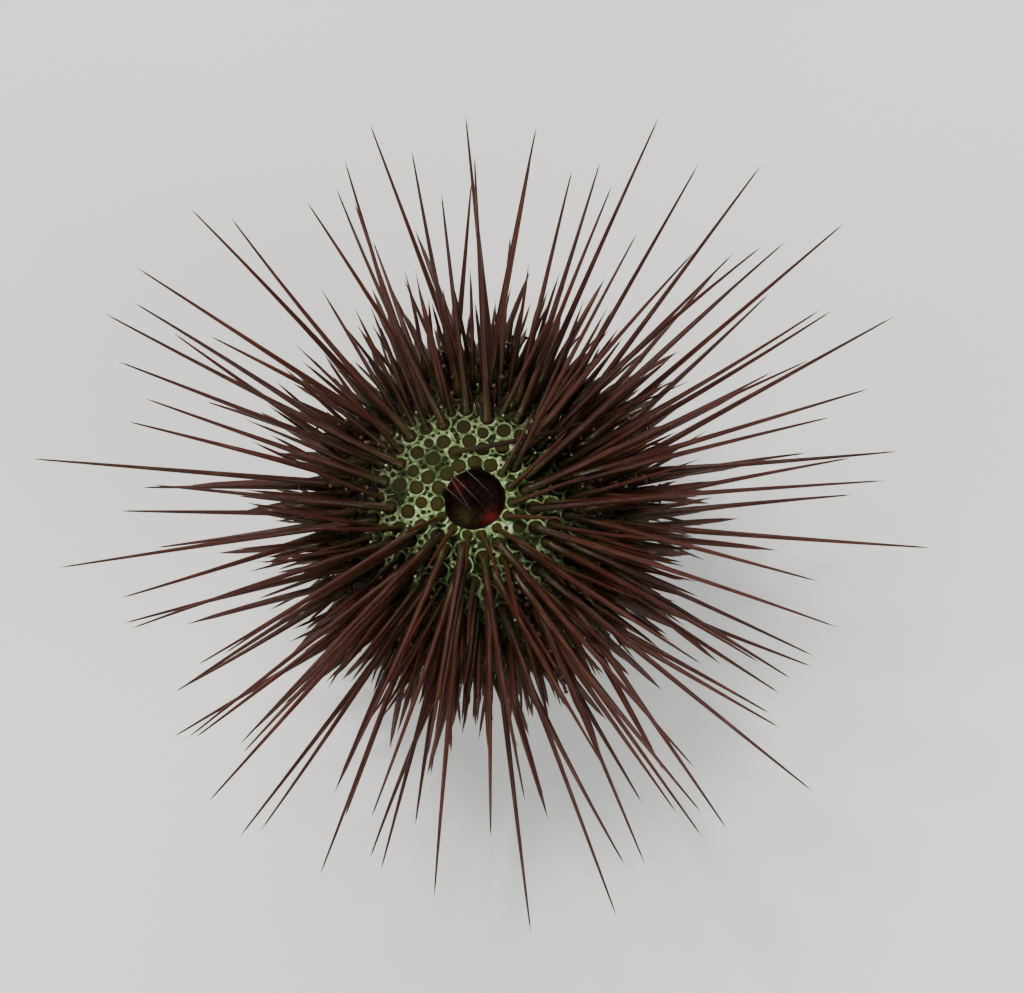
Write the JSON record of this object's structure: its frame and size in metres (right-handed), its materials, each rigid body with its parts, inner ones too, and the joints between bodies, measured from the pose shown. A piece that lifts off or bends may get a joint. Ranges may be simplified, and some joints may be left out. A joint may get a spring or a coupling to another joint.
{
  "type": "needle-spined burrowing sea urchin",
  "caption": "Low round sea urchin with long needle spines fanned out over its top, short stout spines down its sides, and standing spines round the mouth.",
  "frame": {"origin": "on the floor, under the middle of the outline of the spines", "axes": "+Z up along the animal's axis, mouth down; +X to the right and +Y up in the picture"},
  "size_m": [0.0782, 0.0742, 0.0405],
  "materials": {
    "spined_skin": "dark maroon spines with fine lengthwise ridges, over olive brown skin with a pale green lace of ridges on top",
    "apical_plates": "olive plates with pale edges",
    "anal_field": "wet dark red skin set with small plates",
    "mouth_skin": "brown leathery skin with small plates",
    "teeth": "chalk white, slightly polished"
  },
  "bodies": {
    "root": {"ambulacrum_1": "spined_skin", "interambulacrum_1": "spined_skin", "ambulacrum_2": "spined_skin", "interambulacrum_2": "spined_skin", "ambulacrum_3": "spined_skin", "interambulacrum_3": "spined_skin", "ambulacrum_4": "spined_skin", "interambulacrum_4": "spined_skin", "ambulacrum_5": "spined_skin", "interambulacrum_5": "spined_skin", "apical_plates": "apical_plates", "anal_field": "anal_field", "mouth_skin": "mouth_skin", "jaws_and_teeth": "teeth"}
  },
  "joints": []
}
